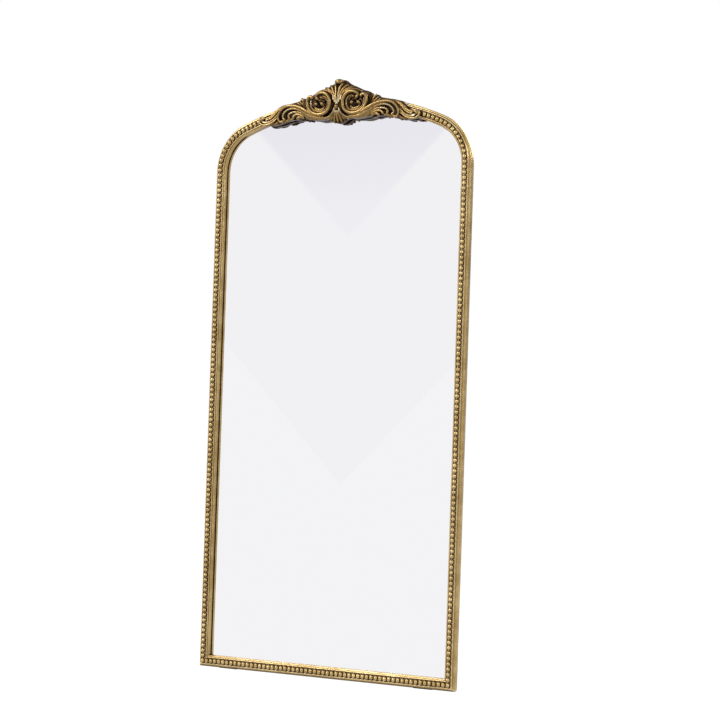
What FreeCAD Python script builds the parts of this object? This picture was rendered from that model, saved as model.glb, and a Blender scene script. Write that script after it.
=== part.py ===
import FreeCAD, Part
import math
import os

# Leaning floor mirror: an arched, beaded moulding round a sheet of silvered glass, with a carved
# rococo crest over the crown. Millimetres. X runs to the right seen from the front, Y to the back
# and Z up. The origin is the middle of the bounding box's footprint, on the floor.
#
# Places on the frame are given by three names:
#   offset  outward from the bead line, which is the line through the middle of the beads
#   depth   backward from the bead plane, which holds the front of the outer ridge
#   rise    upward from the bead line's highest point, used for the crest

Vector = FreeCAD.Vector
X_AXIS = Vector(1, 0, 0)
Y_AXIS = Vector(0, 1, 0)
Z_AXIS = Vector(0, 0, 1)

# ---- Overall frame ----
OVERALL_WIDTH = 865.8
SPRING_HEIGHT = 1449.0        # from the frame's lowest edge to the start of the shoulder
SHOULDER_RADIUS = 130.0       # of the bead line
CROWN_RADIUS = 882.0          # of the bead line
ARCH_LEG = 62.0               # straight foot of each arch half, below the shoulder

# ---- Moulding section, by offset and depth ----
EDGE_OUT = 16.8               # bead line to the outermost edge
SIGHT_IN = 15.3               # bead line to the sight edge
BACK_OUT = 13.5               # bead line to the back's outer edge
FRAME_DEPTH = 27.0
ROLL_DEPTH = 10.0             # where the outer roll is widest
ROLL_TOP = 6.4                # front of the outer roll
QUIRK_DEPTH = 4.2             # groove between the outer ridge and the roll
CHANNEL_DEPTH = 3.5           # floor of the channel that holds the beads
RIDGE_HALF = 2.15             # half the width of a ridge
INNER_RIDGE_OFFSET = -9.4
INNER_RIDGE_FRONT = 1.2
OUTER_RIDGE_OFFSET = 8.9
LIP_DEPTH = 8.5               # where the lip's front rounds into the sight edge

# ---- Glass and its backing ----
GLASS_THICKNESS = 4.0
LIP_OVERLAP = 6.0             # the lip covers this much of the glass
GLASS_SEAT_DEPTH = 19.0       # front of the glass
GLASS_GAP = 2.0               # round the glass, taken up by blocks and spacers
BOARD_THICKNESS = 3.0
BOARD_MARGIN = 6.5            # board outside the glass rebate, where its screws go
BOARD_GAP = 0.5
BLOCK_LENGTH = 60.0
SPACER_LENGTH = 30.0
LOWER_SPACER_RISE = 362.0     # middle of a lower spacer, above the bottom bead line
UPPER_SPACER_DROP = 208.0     # middle of an upper spacer, below the shoulder joint

# ---- Beads ----
BEAD_PITCH = 14.6
BEAD_RADIUS = 6.1
STRIP_WIDTH = 11.0
STRIP_THICKNESS = 0.8
STRIP_END_GAP = 0.2

# ---- Joints inside the frame ----
SPLINE_LENGTH = 17.0          # along the mitre
SPLINE_REACH = 9.0            # into each member
SPLINE_THICKNESS = 3.0
SPLINE_DEPTH = 13.0
SPLINE_GAP = 0.1
DOWEL_RADIUS = 3.0
DOWEL_REACH = 13.0
DOWEL_OFFSET = 4.6
DOWEL_DEPTHS = (9.6, 18.4)
DOWEL_GAP = 0.1
PLATE_THICKNESS = 1.6
PLATE_WIDTH = 11.0
PLATE_LENGTH = 84.0
CORNER_LEG = 62.0             # corner plate, from its outer corner to a leg's end
PLATE_HOLE_INSET = 8.0        # from a plate's end to its last screw
PLATE_HOLE_PITCH = 18.0

# ---- Screws: radius of the shank and the head, height of the head, length below the head ----
BOARD_SCREW = (1.5, 2.6, 0.9, 13.0)
PLATE_SCREW = (1.75, 3.3, 1.6, 14.0)
HANGER_SCREW = (1.75, 3.3, 1.8, 15.0)
CREST_SCREW = (2.0, 4.0, 2.4, 34.0)
SCREW_GAP = 0.05
RAIL_SCREW_COUNT = 4          # board screws, like the two counts below
STILE_SCREW_COUNT = 7
CROWN_SCREW_COUNT = 3         # on each half
CENTRE_SCREW_SHARE = 0.24     # place of a crest screw, as a share of the crest's half width
WING_SCREW_SHARES = (0.49, 0.73)

# ---- Hangers ----
HANGER_DROP = 96.0            # from the shoulder plate's lower end down to the ring's pivot
RING_WIRE_RADIUS = 1.25
RING_INNER_WIDTH = 10.4
RING_STRAIGHT = 8.0           # straight arms between the bar and the round end
RING_GAP = 0.06               # between the ring's bar and the knuckle's bore
RING_SIDE_GAP = 0.7           # between an arm and the strap's edge
RING_REST_TILT = 7.0          # degrees out from straight down, resting over the strap
STRAP_LAYER = 1.2
STRAP_LENGTH = 42.0           # below the pivot
STRAP_HOLES = (16.0, 33.0)    # below the pivot

# ---- Pads ----
BUMPER_RADIUS = 4.5
BUMPER_HEIGHT = 8.0
LOWER_BUMPER_RISE = 112.0     # above the bottom bead line
UPPER_BUMPER_INSET = 56.0     # from the end of the crown's arc
PAD_LENGTH = 60.0
PAD_INSET = 86.0              # middle of a pad, from the corner of the bead line
PAD_DEPTH_FROM = 7.0
PAD_DEPTH_TO = 30.0           # a little behind the back, under the leaning rear edge
PAD_THICKNESS = 4.0
PAD_PROUD = 1.0

# ---- Crest, by X, rise and depth ----
CREST_RELIEF = 27.8           # front of the crest's boss, in front of the bead plane
CREST_TOP = 65.0              # rise of the top lobe
CREST_HALF_WIDTH = 274.0
CREST_SEAT_GAP = 0.3          # round the moulding that the crest sits over
CREST_BACK = 20.0             # depth of the crest's back above the moulding
CREST_APRON_BACK = 12.0       # depth of the crest's back over the glass
CASTING_GAP = 0.3             # between the centre casting and a wing

# ---- Values that follow from the sizes above ----
BACK_Y = FRAME_DEPTH + BUMPER_HEIGHT
BEAD_PLANE_Y = (CREST_RELIEF - BACK_Y) / 2
HALF_WIDTH = OVERALL_WIDTH / 2 - EDGE_OUT
BEAD_LINE_Z = PAD_PROUD + EDGE_OUT
SPRING_Z = PAD_PROUD + SPRING_HEIGHT
SHOULDER_X = HALF_WIDTH - SHOULDER_RADIUS
CROWN_DROP = math.sqrt((CROWN_RADIUS - SHOULDER_RADIUS) ** 2 - SHOULDER_X ** 2)
CROWN_CENTRE_Z = SPRING_Z - CROWN_DROP
CROWN_Z = CROWN_CENTRE_Z + CROWN_RADIUS
SHOULDER_SWEEP = math.degrees(math.atan2(CROWN_DROP, SHOULDER_X))
JOINT_Z = SPRING_Z - ARCH_LEG
HANGER_Z = JOINT_Z - PLATE_LENGTH / 2 - HANGER_DROP
PAD_X = HALF_WIDTH - PAD_INSET
BLOCK_X = HALF_WIDTH / 2
GLASS_EDGE = LIP_OVERLAP - SIGHT_IN
GLASS_WALL = GLASS_EDGE + GLASS_GAP
LEDGE_DEPTH = GLASS_SEAT_DEPTH + GLASS_THICKNESS
BOARD_EDGE = GLASS_WALL + BOARD_MARGIN
BOARD_WALL = BOARD_EDGE + BOARD_GAP
BOARD_BACK = LEDGE_DEPTH + BOARD_THICKNESS
BACK_MIDDLE = (BOARD_WALL + BACK_OUT) / 2
BOARD_SCREW_OFFSET = (GLASS_WALL + BOARD_EDGE) / 2
STRAP_WIDTH = RING_INNER_WIDTH - 2 * RING_SIDE_GAP
HANGER_OFFSET = BOARD_WALL + STRAP_WIDTH / 2      # beside the board's rebate, where the stile
BUMPER_OFFSET = BOARD_WALL + BUMPER_RADIUS        # hides the hangers and the bumpers
KNUCKLE_BORE = RING_WIRE_RADIUS + RING_GAP
KNUCKLE_RADIUS = KNUCKLE_BORE + STRAP_LAYER
PIVOT_DEPTH = FRAME_DEPTH + KNUCKLE_RADIUS
CARVING_X = CREST_HALF_WIDTH / 274    # the carving is drawn 274 wide on each side of the middle,
CARVING_RISE = CREST_TOP / 65         # 65 high above the bead line
CARVING_DEPTH = CREST_RELIEF / 27.8   # and 27.8 proud of the bead plane
CASTING_JOINT_X = 113 * CARVING_X
FAR = 2 * (OVERALL_WIDTH + SPRING_HEIGHT)


# ---- Placing and basic shapes ----

def on_stile(offset, depth, z):
    """Point on the right stile."""
    return Vector(HALF_WIDTH + offset, BEAD_PLANE_Y + depth, z)


def on_rail(x, offset, depth):
    """Point on the bottom rail."""
    return Vector(x, BEAD_PLANE_Y + depth, BEAD_LINE_Z - offset)


def on_crown(x, offset, depth):
    """Point on the crown, the long shallow arc, straight out from its centre."""
    angle = math.asin(x / CROWN_RADIUS)
    reach = CROWN_RADIUS + offset
    return Vector(reach * math.sin(angle), BEAD_PLANE_Y + depth,
                  CROWN_CENTRE_Z + reach * math.cos(angle))


def on_crest(x, rise, depth):
    """Point of the crest's carving, given as it is drawn."""
    return Vector(x * CARVING_X, BEAD_PLANE_Y + depth * CARVING_DEPTH, CROWN_Z + rise * CARVING_RISE)


def mirrored(shape):
    """The same piece on the other side of the mirror."""
    return shape.mirror(Vector(0, 0, 0), X_AXIS)


def both_sides(shapes):
    return list(shapes) + [mirrored(shape) for shape in shapes]


def cylinder(radius, start, end):
    return Part.makeCylinder(radius, start.distanceToPoint(end), start, end - start)


def block(low, high):
    """Box between two corners."""
    corner = Vector(min(low.x, high.x), min(low.y, high.y), min(low.z, high.z))
    size = [abs(high.x - low.x), abs(high.y - low.y), abs(high.z - low.z)]
    return Part.makeBox(*size, corner)


def slab(points, depth_from, depth_to):
    """Straight-sided plate: (x, z) corners, thickened in depth."""
    corners = [Vector(x, BEAD_PLANE_Y + depth_from, z) for x, z in points]
    face = Part.Face(Part.makePolygon(corners + corners[:1]))
    return face.extrude(Y_AXIS * (depth_to - depth_from))


def fused(shapes):
    """Join overlapping shapes into one clean solid."""
    return shapes[0].multiFuse(shapes[1:]).removeSplitter()


def carve(shape, cutters):
    for cutter in cutters:
        shape = shape.cut(cutter)
    return shape


def rod(path, radius):
    """Round rod along a three-point arc, with round ends."""
    edge = Part.Arc(*path).toShape()
    disc = Part.Face(Part.Wire([Part.makeCircle(radius, path[0], edge.tangentAt(edge.FirstParameter))]))
    sweep = math.degrees(edge.LastParameter - edge.FirstParameter)
    bar = disc.revolve(edge.Curve.Center, edge.Curve.Axis, sweep)
    return bar.multiFuse([Part.makeSphere(radius, path[0]), Part.makeSphere(radius, path[2])])


def oval_ring(middle, half_width, half_height, radius):
    """Round-sectioned ring along an oval of four arcs, two tight at the sides and two shallow."""
    tight = 1.1 * half_height ** 2 / half_width
    inset = half_width - tight
    shallow = (half_height ** 2 + inset ** 2 - tight ** 2) / (2 * (half_height - tight))
    turn = math.atan2(shallow - half_height, inset)
    corner = Vector(inset + tight * math.cos(turn), 0, tight * math.sin(turn))
    corners = [Vector(corner.x * i, 0, corner.z * k) for i, k in ((1, -1), (1, 1), (-1, 1), (-1, -1))]
    tips = [X_AXIS * half_width, Z_AXIS * half_height, X_AXIS * -half_width, Z_AXIS * -half_height]
    sides = [rod([middle + corners[i], middle + tips[i], middle + corners[(i + 1) % 4]], radius)
             for i in range(4)]
    return sides[0].multiFuse(sides[1:])


def save(name, shape):
    shape.exportStep(os.path.join("parts", name + ".step"))


# ---- Moulding ----

def moulding_section(place):
    """Closed face of the moulding. place turns an offset and a depth into a point."""

    def line(start, end):
        return Part.makeLine(place(*start), place(*end))

    def arc(start, middle, end):
        return Part.Arc(place(*start), place(*middle), place(*end)).toShape()

    inner_side = INNER_RIDGE_OFFSET - RIDGE_HALF
    channel_in = INNER_RIDGE_OFFSET + RIDGE_HALF
    channel_out = OUTER_RIDGE_OFFSET - RIDGE_HALF
    outer_side = OUTER_RIDGE_OFFSET + RIDGE_HALF
    lip_front = CHANNEL_DEPTH + 1.1
    cove_end = (outer_side + EDGE_OUT) / 2 - 0.6
    roll_width = EDGE_OUT - cove_end
    roll_depth = ROLL_DEPTH - ROLL_TOP
    edges = [
        line((-SIGHT_IN, GLASS_SEAT_DEPTH), (-SIGHT_IN, LIP_DEPTH)),
        arc((-SIGHT_IN, LIP_DEPTH),
            ((inner_side - SIGHT_IN) / 2 - 0.8, (LIP_DEPTH + lip_front) / 2 - 0.9),
            (inner_side, lip_front)),
        line((inner_side, lip_front), (inner_side, INNER_RIDGE_FRONT + RIDGE_HALF)),
        arc((inner_side, INNER_RIDGE_FRONT + RIDGE_HALF), (INNER_RIDGE_OFFSET, INNER_RIDGE_FRONT),
            (channel_in, INNER_RIDGE_FRONT + RIDGE_HALF)),
        line((channel_in, INNER_RIDGE_FRONT + RIDGE_HALF), (channel_in, CHANNEL_DEPTH)),
        line((channel_in, CHANNEL_DEPTH), (channel_out, CHANNEL_DEPTH)),
        line((channel_out, CHANNEL_DEPTH), (channel_out, RIDGE_HALF)),
        arc((channel_out, RIDGE_HALF), (OUTER_RIDGE_OFFSET, 0), (outer_side, RIDGE_HALF)),
        line((outer_side, RIDGE_HALF), (outer_side, QUIRK_DEPTH)),
        arc((outer_side, QUIRK_DEPTH),
            (outer_side + 0.3 * (cove_end - outer_side), ROLL_TOP - 0.3 * (ROLL_TOP - QUIRK_DEPTH)),
            (cove_end, ROLL_TOP)),
        arc((cove_end, ROLL_TOP), (cove_end + 0.72 * roll_width, ROLL_TOP + 0.3 * roll_depth),
            (EDGE_OUT, ROLL_DEPTH)),
        arc((EDGE_OUT, ROLL_DEPTH), (EDGE_OUT - 0.26 * (EDGE_OUT - BACK_OUT),
                                     (ROLL_DEPTH + FRAME_DEPTH) / 2), (BACK_OUT, FRAME_DEPTH)),
        line((BACK_OUT, FRAME_DEPTH), (BOARD_WALL, FRAME_DEPTH)),
        line((BOARD_WALL, FRAME_DEPTH), (BOARD_WALL, LEDGE_DEPTH)),
        line((BOARD_WALL, LEDGE_DEPTH), (GLASS_WALL, LEDGE_DEPTH)),
        line((GLASS_WALL, LEDGE_DEPTH), (GLASS_WALL, GLASS_SEAT_DEPTH)),
        line((GLASS_WALL, GLASS_SEAT_DEPTH), (-SIGHT_IN, GLASS_SEAT_DEPTH)),
    ]
    return Part.Face(Part.Wire(edges))


def around_arch(section):
    """Sweep a section, drawn level with the spring line on the right stile, up to the crown."""
    shoulder_axis = Vector(SHOULDER_X, 0, SPRING_Z)
    crown_axis = Vector(0, 0, CROWN_CENTRE_Z)
    shoulder = section.revolve(shoulder_axis, -Y_AXIS, SHOULDER_SWEEP)
    turned = section.copy()
    turned.rotate(shoulder_axis, -Y_AXIS, SHOULDER_SWEEP)
    crown = turned.revolve(crown_axis, -Y_AXIS, 90 - SHOULDER_SWEEP)
    return [shoulder, crown]


def mitre_half(above):
    """Wedge on one side of the right-hand mitre plane, to be cut away."""
    low, high = EDGE_OUT + 5, SIGHT_IN + 5
    corner = (HALF_WIDTH + low, BEAD_LINE_Z - low)
    inner = (HALF_WIDTH - high, BEAD_LINE_Z + high)
    third = (corner[0], inner[1]) if above else (inner[0], corner[1])
    return slab([corner, inner, third], -1, FRAME_DEPTH + 1)


def spline_block(gap):
    """Loose tongue across the right-hand mitre, or with a gap, its slot."""
    length = SPLINE_LENGTH + 2 * gap
    width = 2 * (SPLINE_REACH + gap)
    thickness = SPLINE_THICKNESS + 2 * gap
    shape = Part.makeBox(width, thickness, length, Vector(-width / 2, -thickness / 2, -length / 2))
    shape.rotate(Vector(0, 0, 0), Y_AXIS, -45)
    shape.translate(Vector(HALF_WIDTH, BEAD_PLANE_Y + SPLINE_DEPTH, BEAD_LINE_Z))
    return shape


def dowels(gap):
    """Dowels of the right-hand shoulder joint and of the crown joint, or their holes."""
    radius, reach = DOWEL_RADIUS + gap, DOWEL_REACH + gap
    shoulder = [cylinder(radius, on_stile(DOWEL_OFFSET, depth, JOINT_Z - reach),
                         on_stile(DOWEL_OFFSET, depth, JOINT_Z + reach)) for depth in DOWEL_DEPTHS]
    crown = [cylinder(radius, Vector(-reach, BEAD_PLANE_Y + depth, CROWN_Z + DOWEL_OFFSET),
                      Vector(reach, BEAD_PLANE_Y + depth, CROWN_Z + DOWEL_OFFSET))
             for depth in DOWEL_DEPTHS]
    return shoulder, crown


# ---- Screws ----

def screw(seat, size, gap=0.0):
    """Screw driven from the back. seat is the middle of the head's underside."""
    shank, head, height, length = size
    body = cylinder(shank + gap, seat + Y_AXIS * 0.1, seat - Y_AXIS * (length + gap))
    cap = cylinder(head + gap, seat, seat + Y_AXIS * (height + gap))
    return body.fuse(cap)


def sunk_screw(seat, size, gap=0.0):
    """Countersunk screw driven from the back. seat is the middle of the head's flat top."""
    shank, head, height, length = size
    body = cylinder(shank + gap, seat, seat - Y_AXIS * (length + gap))
    cap = Part.makeCone(head + gap, shank + gap, height, seat, -Y_AXIS)
    return body.fuse(cap)


def board_screw_seats():
    """Seats on the right half, in the board's margin."""
    half_pitch = HALF_WIDTH / RAIL_SCREW_COUNT
    seats = [on_rail(half_pitch * (2 * i + 1), BOARD_SCREW_OFFSET, BOARD_BACK)
             for i in range(RAIL_SCREW_COUNT // 2)]
    step = (JOINT_Z - BEAD_LINE_Z) / STILE_SCREW_COUNT
    seats += [on_stile(BOARD_SCREW_OFFSET, BOARD_BACK, BEAD_LINE_Z + step * (i + 0.5))
              for i in range(STILE_SCREW_COUNT)]
    crown_step = SHOULDER_X / (CROWN_SCREW_COUNT + 0.5)
    seats += [on_crown(crown_step * (i + 0.75), BOARD_SCREW_OFFSET, BOARD_BACK)
              for i in range(CROWN_SCREW_COUNT)]
    return seats


def straight_plate_seats(middle, along):
    """Screw seats of a straight plate, two on each side of the joint."""
    last = PLATE_LENGTH / 2 - PLATE_HOLE_INSET
    places = (-last, -last + PLATE_HOLE_PITCH, last - PLATE_HOLE_PITCH, last)
    return [middle + along * place for place in places]


def corner_plate_seats():
    """Screw seats of the right-hand corner plate, two on each leg."""
    back = FRAME_DEPTH + PLATE_THICKNESS
    outer = BACK_MIDDLE + PLATE_WIDTH / 2
    last = CORNER_LEG - PLATE_HOLE_INSET - outer
    steps = (last, last - PLATE_HOLE_PITCH)
    on_legs = [on_stile(BACK_MIDDLE, back, BEAD_LINE_Z + step) for step in steps]
    return on_legs + [on_rail(HALF_WIDTH - step, BACK_MIDDLE, back) for step in steps]


def crest_centre_seats():
    return [on_crown(CENTRE_SCREW_SHARE * CREST_HALF_WIDTH, BACK_MIDDLE, FRAME_DEPTH)]


def crest_wing_seats():
    return [on_crown(share * CREST_HALF_WIDTH, BACK_MIDDLE, FRAME_DEPTH)
            for share in WING_SCREW_SHARES]


def hanger_screw_seats():
    back = FRAME_DEPTH + 2 * STRAP_LAYER
    return [on_stile(HANGER_OFFSET, back, HANGER_Z - drop) for drop in STRAP_HOLES]


def shoulder_plate_seats():
    return straight_plate_seats(on_stile(BACK_MIDDLE, FRAME_DEPTH + PLATE_THICKNESS, JOINT_Z), Z_AXIS)


def crown_plate_seats():
    middle = Vector(0, BEAD_PLANE_Y + FRAME_DEPTH + PLATE_THICKNESS, CROWN_Z + BACK_MIDDLE)
    return straight_plate_seats(middle, X_AXIS)


def frame_holes():
    """Every screw hole that reaches the right half of the frame."""
    holes = [screw(seat, BOARD_SCREW, SCREW_GAP) for seat in board_screw_seats()]
    plate_seats = corner_plate_seats() + shoulder_plate_seats() + crown_plate_seats()
    holes += [sunk_screw(seat, PLATE_SCREW, SCREW_GAP) for seat in plate_seats]
    holes += [sunk_screw(seat, HANGER_SCREW, SCREW_GAP) for seat in hanger_screw_seats()]
    crest_seats = crest_centre_seats() + crest_wing_seats()
    holes += [sunk_screw(seat, CREST_SCREW, SCREW_GAP) for seat in crest_seats]
    return holes


# ---- Frame members ----

def floor_pad(gap):
    """Right-hand pad let into the bottom rail's underside, or with a gap, its recess."""
    return block(Vector(PAD_X - PAD_LENGTH / 2 - gap, BEAD_PLANE_Y + PAD_DEPTH_FROM - gap, -gap),
                 Vector(PAD_X + PAD_LENGTH / 2 + gap, BEAD_PLANE_Y + PAD_DEPTH_TO + gap, PAD_THICKNESS))


def touching(shape, cutters):
    return [cutter for cutter in cutters if shape.BoundBox.intersect(cutter.BoundBox)]


def right_stile():
    foot = BEAD_LINE_Z - EDGE_OUT
    section = moulding_section(lambda offset, depth: on_stile(offset, depth, foot))
    shape = section.extrude(Z_AXIS * (JOINT_Z - foot)).cut(mitre_half(above=False))
    cutters = [spline_block(SPLINE_GAP)] + dowels(DOWEL_GAP)[0] + frame_holes()
    return carve(shape, touching(shape, cutters))


def bottom_rail():
    end = HALF_WIDTH + EDGE_OUT
    section = moulding_section(lambda offset, depth: on_rail(-end, offset, depth))
    shape = section.extrude(X_AXIS * 2 * end)
    cutters = [mitre_half(above=True), spline_block(SPLINE_GAP), floor_pad(0.0)] + frame_holes()
    return carve(shape, touching(shape, both_sides(cutters)))


def right_arch():
    section = moulding_section(lambda offset, depth: on_stile(offset, depth, SPRING_Z))
    leg = section.extrude(Z_AXIS * (JOINT_Z - SPRING_Z))
    shape = fused([leg] + around_arch(section))
    shoulder, crown = dowels(DOWEL_GAP)
    return carve(shape, touching(shape, shoulder + crown + frame_holes()))


# ---- Beads ----

def bead(place):
    """Round bead whose middle lies in the bead plane, cut flat inside its strip."""
    base = CHANNEL_DEPTH - STRIP_THICKNESS / 2
    tilt = math.degrees(math.asin(base / BEAD_RADIUS))
    return Part.makeSphere(BEAD_RADIUS, place, -Y_AXIS, -tilt, 90, 360)


def bead_run(start, end):
    """Beads evenly between two points, half a pitch in from each."""
    count = max(1, round(start.distanceToPoint(end) / BEAD_PITCH))
    return [bead(start + (end - start) * ((i + 0.5) / count)) for i in range(count)]


def bead_strip_right():
    half = STRIP_WIDTH / 2
    low = BEAD_LINE_Z + half + STRIP_END_GAP
    strip = block(on_stile(-half, CHANNEL_DEPTH - STRIP_THICKNESS, low),
                  on_stile(half, CHANNEL_DEPTH, JOINT_Z - STRIP_END_GAP))
    beads = bead_run(on_stile(0, 0, BEAD_LINE_Z + BEAD_PITCH / 2), on_stile(0, 0, JOINT_Z))
    return fused([strip] + beads)


def bead_strip_bottom():
    half = STRIP_WIDTH / 2
    end = HALF_WIDTH + half
    strip = block(on_rail(-end, -half, CHANNEL_DEPTH - STRIP_THICKNESS),
                  on_rail(end, half, CHANNEL_DEPTH))
    reach = HALF_WIDTH + BEAD_PITCH / 2
    return fused([strip] + bead_run(on_rail(-reach, 0, 0), on_rail(reach, 0, 0)))


def crest_end_angle():
    """Angle on the crown, from straight up, where the bead strip meets the crest's tail."""
    return math.degrees(math.asin((CREST_HALF_WIDTH + CREST_SEAT_GAP) / CROWN_RADIUS))


def bead_strip_arch_right():
    half = STRIP_WIDTH / 2
    corners = [on_stile(offset, depth, SPRING_Z) for offset, depth in
               ((-half, CHANNEL_DEPTH - STRIP_THICKNESS), (half, CHANNEL_DEPTH - STRIP_THICKNESS),
                (half, CHANNEL_DEPTH), (-half, CHANNEL_DEPTH))]
    section = Part.Face(Part.makePolygon(corners + corners[:1]))
    leg = section.extrude(Z_AXIS * (JOINT_Z + STRIP_END_GAP - SPRING_Z))
    shoulder_axis = Vector(SHOULDER_X, 0, SPRING_Z)
    turned = section.copy()
    turned.rotate(shoulder_axis, -Y_AXIS, SHOULDER_SWEEP)
    crown_sweep = 90 - SHOULDER_SWEEP - crest_end_angle()
    crown = turned.revolve(Vector(0, 0, CROWN_CENTRE_Z), -Y_AXIS, crown_sweep)
    strip = [leg, section.revolve(shoulder_axis, -Y_AXIS, SHOULDER_SWEEP), crown]
    return fused(strip + [bead(place) for place in arch_bead_places(crown_sweep)])


def arch_bead_places(crown_sweep):
    """Bead places from the shoulder joint up the leg, round the shoulder and along the crown."""
    shoulder_length = SHOULDER_RADIUS * math.radians(SHOULDER_SWEEP)
    crown_length = CROWN_RADIUS * math.radians(crown_sweep)
    total = ARCH_LEG + shoulder_length + crown_length
    count = max(1, round(total / BEAD_PITCH))
    places = []
    for i in range(count):
        travel = total * (i + 0.5) / count
        if travel < ARCH_LEG:
            places.append(on_stile(0, 0, JOINT_Z + travel))
            continue
        if travel < ARCH_LEG + shoulder_length:
            angle = (travel - ARCH_LEG) / SHOULDER_RADIUS
            x, z, radius = SHOULDER_X, SPRING_Z, SHOULDER_RADIUS
        else:
            angle = (travel - ARCH_LEG - shoulder_length) / CROWN_RADIUS + math.radians(SHOULDER_SWEEP)
            x, z, radius = 0, CROWN_CENTRE_Z, CROWN_RADIUS
        places.append(Vector(x + radius * math.cos(angle), BEAD_PLANE_Y, z + radius * math.sin(angle)))
    return places


# ---- Glass, board and what packs the glass ----

def arched_plate(offset, depth_from, depth_to):
    """Plate whose edge follows the bead line at an offset."""
    side, foot = HALF_WIDTH + offset, BEAD_LINE_Z - offset
    shoulder, crown = SHOULDER_RADIUS + offset, CROWN_RADIUS + offset
    y = BEAD_PLANE_Y + depth_from
    turn = math.radians(SHOULDER_SWEEP)

    def shoulder_point(angle, sign):
        return Vector(sign * (SHOULDER_X + shoulder * math.cos(angle)), y,
                      SPRING_Z + shoulder * math.sin(angle))

    top = Vector(0, y, CROWN_CENTRE_Z + crown)
    ends = [shoulder_point(turn, 1), shoulder_point(turn, -1)]
    edges = [Part.makeLine(Vector(-side, y, foot), Vector(side, y, foot)),
             Part.makeLine(Vector(side, y, foot), Vector(side, y, SPRING_Z)),
             Part.Arc(Vector(side, y, SPRING_Z), shoulder_point(turn / 2, 1), ends[0]).toShape(),
             Part.Arc(ends[0], top, ends[1]).toShape(),
             Part.Arc(ends[1], shoulder_point(turn / 2, -1), Vector(-side, y, SPRING_Z)).toShape(),
             Part.makeLine(Vector(-side, y, SPRING_Z), Vector(-side, y, foot))]
    return Part.Face(Part.Wire(edges)).extrude(Y_AXIS * (depth_to - depth_from))


def backing_board():
    shape = arched_plate(BOARD_EDGE, LEDGE_DEPTH, BOARD_BACK)
    return carve(shape, both_sides([screw(seat, BOARD_SCREW, SCREW_GAP) for seat in board_screw_seats()]))


def setting_block_right():
    """Block under the glass at a quarter of its width."""
    return block(on_rail(BLOCK_X - BLOCK_LENGTH / 2, GLASS_EDGE, GLASS_SEAT_DEPTH),
                 on_rail(BLOCK_X + BLOCK_LENGTH / 2, GLASS_WALL, LEDGE_DEPTH))


def edge_spacer_right(height):
    return block(on_stile(GLASS_EDGE, GLASS_SEAT_DEPTH, height - SPACER_LENGTH / 2),
                 on_stile(GLASS_WALL, LEDGE_DEPTH, height + SPACER_LENGTH / 2))


# ---- Plates on the back ----

def corner_plate_right():
    outer, inner = BACK_MIDDLE + PLATE_WIDTH / 2, BACK_MIDDLE - PLATE_WIDTH / 2
    x, z = HALF_WIDTH + outer, BEAD_LINE_Z - outer
    points = [(x, z), (x, z + CORNER_LEG), (HALF_WIDTH + inner, z + CORNER_LEG),
              (HALF_WIDTH + inner, BEAD_LINE_Z - inner), (x - CORNER_LEG, BEAD_LINE_Z - inner),
              (x - CORNER_LEG, z)]
    shape = slab(points, FRAME_DEPTH, FRAME_DEPTH + PLATE_THICKNESS)
    return carve(shape, [sunk_screw(seat, PLATE_SCREW, SCREW_GAP) for seat in corner_plate_seats()])


def straight_plate(middle, along, seats):
    across = along.cross(Y_AXIS)
    reach = along * (PLATE_LENGTH / 2) + across * (PLATE_WIDTH / 2)
    shape = block(middle - reach, middle + reach + Y_AXIS * PLATE_THICKNESS)
    return carve(shape, [sunk_screw(seat, PLATE_SCREW, SCREW_GAP) for seat in seats])


# ---- Hangers ----

def hanger_strap_right():
    pivot = on_stile(HANGER_OFFSET, PIVOT_DEPTH, HANGER_Z)
    half = X_AXIS * (STRAP_WIDTH / 2)
    knuckle = cylinder(KNUCKLE_RADIUS, pivot - half, pivot + half)
    tail = block(pivot - half - Y_AXIS * KNUCKLE_RADIUS,
                 pivot + half + Y_AXIS * (2 * STRAP_LAYER - KNUCKLE_RADIUS) - Z_AXIS * STRAP_LENGTH)
    bore = cylinder(KNUCKLE_BORE, pivot - half * 2, pivot + half * 2)
    holes = [sunk_screw(seat, HANGER_SCREW, SCREW_GAP) for seat in hanger_screw_seats()]
    return carve(fused([knuckle, tail]), [bore] + holes)


def hanger_ring_right():
    """D-shaped wire ring whose bar turns in the strap's knuckle."""
    pivot = on_stile(HANGER_OFFSET, PIVOT_DEPTH, HANGER_Z)
    half = RING_INNER_WIDTH / 2 + RING_WIRE_RADIUS
    corners = [pivot - X_AXIS * half, pivot + X_AXIS * half]
    lows = [corner - Z_AXIS * RING_STRAIGHT for corner in corners]
    middle = pivot - Z_AXIS * RING_STRAIGHT
    bend = Part.makeTorus(half, RING_WIRE_RADIUS, middle, Y_AXIS)
    above = block(middle + Vector(-2 * half, -2 * half, 0), middle + Vector(2 * half, 2 * half, 2 * half))
    pieces = [cylinder(RING_WIRE_RADIUS, corners[0], corners[1]),
              cylinder(RING_WIRE_RADIUS, corners[0], lows[0]),
              cylinder(RING_WIRE_RADIUS, corners[1], lows[1]), bend.cut(above)]
    pieces += [Part.makeSphere(RING_WIRE_RADIUS, corner) for corner in corners]
    ring = fused(pieces)
    ring.rotate(pivot, X_AXIS, RING_REST_TILT)
    return ring


# ---- Pads on the back ----

def bumper(place):
    return cylinder(BUMPER_RADIUS, place, place + Y_AXIS * BUMPER_HEIGHT)


# ---- Crest ----

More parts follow.
